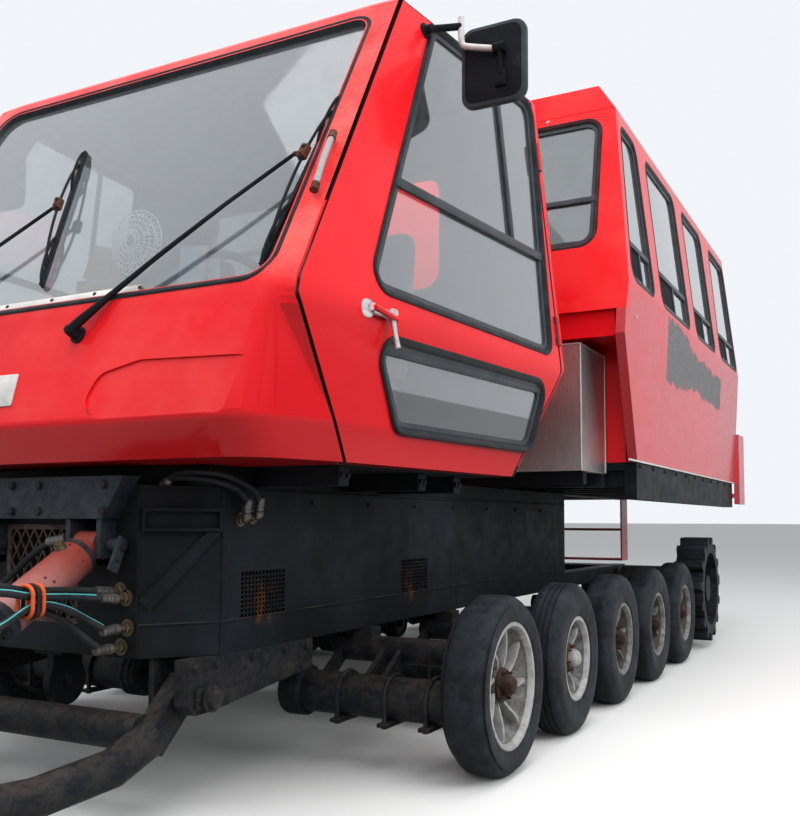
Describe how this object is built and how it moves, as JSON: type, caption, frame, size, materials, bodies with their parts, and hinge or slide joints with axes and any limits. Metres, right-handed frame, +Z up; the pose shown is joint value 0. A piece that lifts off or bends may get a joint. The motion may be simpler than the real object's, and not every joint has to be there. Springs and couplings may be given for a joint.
{
  "type": "snowcat",
  "caption": "Passenger snowcat on bare road wheels and drive sprockets, with a hinged front push frame, lift cylinders, a tilted-front cab and a rear passenger cabin; tracks and blade are off.",
  "frame": {"origin": "on the ground under the middle of the vehicle's length and width", "axes": "+Z up, -Y towards the nose, +X towards the vehicle's left side"},
  "size_m": [2.694, 6.48, 3.03],
  "materials": {
    "black_paint": "satin, dusty",
    "hose_rubber": "matte",
    "grey_casting": "rough",
    "rusty_steel": "rough, rusted",
    "brushed_alloy": "brushed",
    "red_paint": "gloss, weathered",
    "tinted_glass": "gloss",
    "dark_plastic": "grained",
    "seat_fabric": "woven",
    "faded_red_paint": "chalky, faded",
    "faded_cylinder_paint": "satin, faded",
    "rod_steel": "polished",
    "black_rubber": "matte, worn"
  },
  "bodies": {
    "snowcat": {"chassis_tub": "black_paint", "corner_braces": "black_paint", "tow_lug": "black_paint", "hydraulic_hoses": "hose_rubber", "engine_block": "grey_casting", "front_crossbeam": "black_paint", "front_grille": "rusty_steel", "lower_rails": "rusty_steel", "swing_axles": "rusty_steel", "rear_frame": "black_paint", "final_drives": "grey_casting", "cab_deck": "black_paint", "storage_box": "brushed_alloy", "cab_front_shell": "red_paint", "windshield": "tinted_glass", "cab_roof": "red_paint", "cab_rear_wall": "red_paint", "cab_floor": "black_paint", "dashboard": "dark_plastic", "cab_seats": "seat_fabric", "wipers": "black_paint", "cabin_floor": "black_paint", "cabin_front_wall": "red_paint", "cabin_side_walls": "faded_red_paint", "cabin_rear_wall": "faded_red_paint", "cabin_roof": "red_paint", "cabin_glass": "tinted_glass", "cabin_benches": "seat_fabric", "rear_step": "faded_red_paint"},
    "left_door": {"door_left": "red_paint", "door_left_glass": "tinted_glass", "mirror_left": "dark_plastic"},
    "right_door": {"door_right": "red_paint", "door_right_glass": "tinted_glass", "mirror_right": "dark_plastic"},
    "cabin_door": {"rear_door": "faded_red_paint", "rear_door_glass": "tinted_glass"},
    "push_frame": {"push_frame": "rusty_steel"},
    "left_cylinder": {"lift_barrel_left": "faded_cylinder_paint"},
    "left_rod": {"lift_rod_left": "rod_steel"},
    "right_cylinder": {"lift_barrel_right": "faded_cylinder_paint"},
    "right_rod": {"lift_rod_right": "rod_steel"},
    "left_wheel_1": {"wheel_left_1": "black_rubber"},
    "left_wheel_2": {"wheel_left_2": "black_rubber"},
    "left_wheel_3": {"wheel_left_3": "black_rubber"},
    "left_wheel_4": {"wheel_left_4": "black_rubber"},
    "left_wheel_5": {"wheel_left_5": "black_rubber"},
    "left_sprocket": {"sprocket_left": "black_rubber"},
    "right_wheel_1": {"wheel_right_1": "black_rubber"},
    "right_wheel_2": {"wheel_right_2": "black_rubber"},
    "right_wheel_3": {"wheel_right_3": "black_rubber"},
    "right_wheel_4": {"wheel_right_4": "black_rubber"},
    "right_wheel_5": {"wheel_right_5": "black_rubber"},
    "right_sprocket": {"sprocket_right": "black_rubber"}
  },
  "joints": [
    {"name": "left_wheel_1_spin", "type": "hinge", "parent": "snowcat", "child": "left_wheel_1", "pos_m": [1.14, -1.45, 0.31], "axis": [1, 0, 0], "continuous": true},
    {"name": "left_wheel_2_spin", "type": "hinge", "parent": "snowcat", "child": "left_wheel_2", "pos_m": [1.14, -0.705, 0.31], "axis": [1, 0, 0], "continuous": true},
    {"name": "left_wheel_3_spin", "type": "hinge", "parent": "snowcat", "child": "left_wheel_3", "pos_m": [1.14, 0.04, 0.31], "axis": [1, 0, 0], "continuous": true},
    {"name": "left_wheel_4_spin", "type": "hinge", "parent": "snowcat", "child": "left_wheel_4", "pos_m": [1.14, 0.785, 0.31], "axis": [1, 0, 0], "continuous": true},
    {"name": "left_wheel_5_spin", "type": "hinge", "parent": "snowcat", "child": "left_wheel_5", "pos_m": [1.14, 1.53, 0.31], "axis": [1, 0, 0], "continuous": true},
    {"name": "left_sprocket_spin", "type": "hinge", "parent": "snowcat", "child": "left_sprocket", "pos_m": [1.076, 2.38, 0.407], "axis": [1, 0, 0], "continuous": true},
    {"name": "right_wheel_1_spin", "type": "hinge", "parent": "snowcat", "child": "right_wheel_1", "pos_m": [-1.14, -1.45, 0.31], "axis": [1, 0, 0], "continuous": true},
    {"name": "right_wheel_2_spin", "type": "hinge", "parent": "snowcat", "child": "right_wheel_2", "pos_m": [-1.14, -0.705, 0.31], "axis": [1, 0, 0], "continuous": true},
    {"name": "right_wheel_3_spin", "type": "hinge", "parent": "snowcat", "child": "right_wheel_3", "pos_m": [-1.14, 0.04, 0.31], "axis": [1, 0, 0], "continuous": true},
    {"name": "right_wheel_4_spin", "type": "hinge", "parent": "snowcat", "child": "right_wheel_4", "pos_m": [-1.14, 0.785, 0.31], "axis": [1, 0, 0], "continuous": true},
    {"name": "right_wheel_5_spin", "type": "hinge", "parent": "snowcat", "child": "right_wheel_5", "pos_m": [-1.14, 1.53, 0.31], "axis": [1, 0, 0], "continuous": true},
    {"name": "right_sprocket_spin", "type": "hinge", "parent": "snowcat", "child": "right_sprocket", "pos_m": [-1.076, 2.38, 0.407], "axis": [1, 0, 0], "continuous": true},
    {"name": "left_door_hinge", "type": "hinge", "parent": "snowcat", "child": "left_door", "pos_m": [1.218, -0.915, 1.479], "axis": [-0.1073, 0, 0.9942], "range_deg": [0, 75]},
    {"name": "right_door_hinge", "type": "hinge", "parent": "snowcat", "child": "right_door", "pos_m": [-1.218, -0.915, 1.479], "axis": [-0.1073, 0, -0.9942], "range_deg": [0, 75]},
    {"name": "cabin_door_hinge", "type": "hinge", "parent": "snowcat", "child": "cabin_door", "pos_m": [0.388, 2.995, 1.978], "axis": [0, 0, -1], "range_deg": [0, 100]},
    {"name": "push_frame_lift", "type": "hinge", "parent": "snowcat", "child": "push_frame", "pos_m": [0, -2.322, 0.354], "axis": [-1, 0, 0], "range_deg": [-4, 20]},
    {"name": "left_cylinder_swing", "type": "hinge", "parent": "snowcat", "child": "left_cylinder", "pos_m": [0.24, -2.456, 0.804], "axis": [-1, 0, 0], "range_deg": [-4, 18.5]},
    {"name": "left_rod_slide", "type": "slide", "parent": "left_cylinder", "child": "left_rod", "axis": [0, -0.8549, -0.5187], "range_m": [-0.17, 0.04]},
    {"name": "right_cylinder_swing", "type": "hinge", "parent": "snowcat", "child": "right_cylinder", "pos_m": [-0.24, -2.456, 0.804], "axis": [-1, 0, 0], "range_deg": [-4, 18.5]},
    {"name": "right_rod_slide", "type": "slide", "parent": "right_cylinder", "child": "right_rod", "axis": [0, -0.8549, -0.5187], "range_m": [-0.17, 0.04]}
  ],
  "couplings": [
    {"joint": "left_cylinder_swing", "follows": "push_frame_lift", "ratio": 0.888},
    {"joint": "left_rod_slide", "follows": "push_frame_lift", "m_per_rad": -0.462},
    {"joint": "right_cylinder_swing", "follows": "push_frame_lift", "ratio": 0.888},
    {"joint": "right_rod_slide", "follows": "push_frame_lift", "m_per_rad": -0.462}
  ]
}
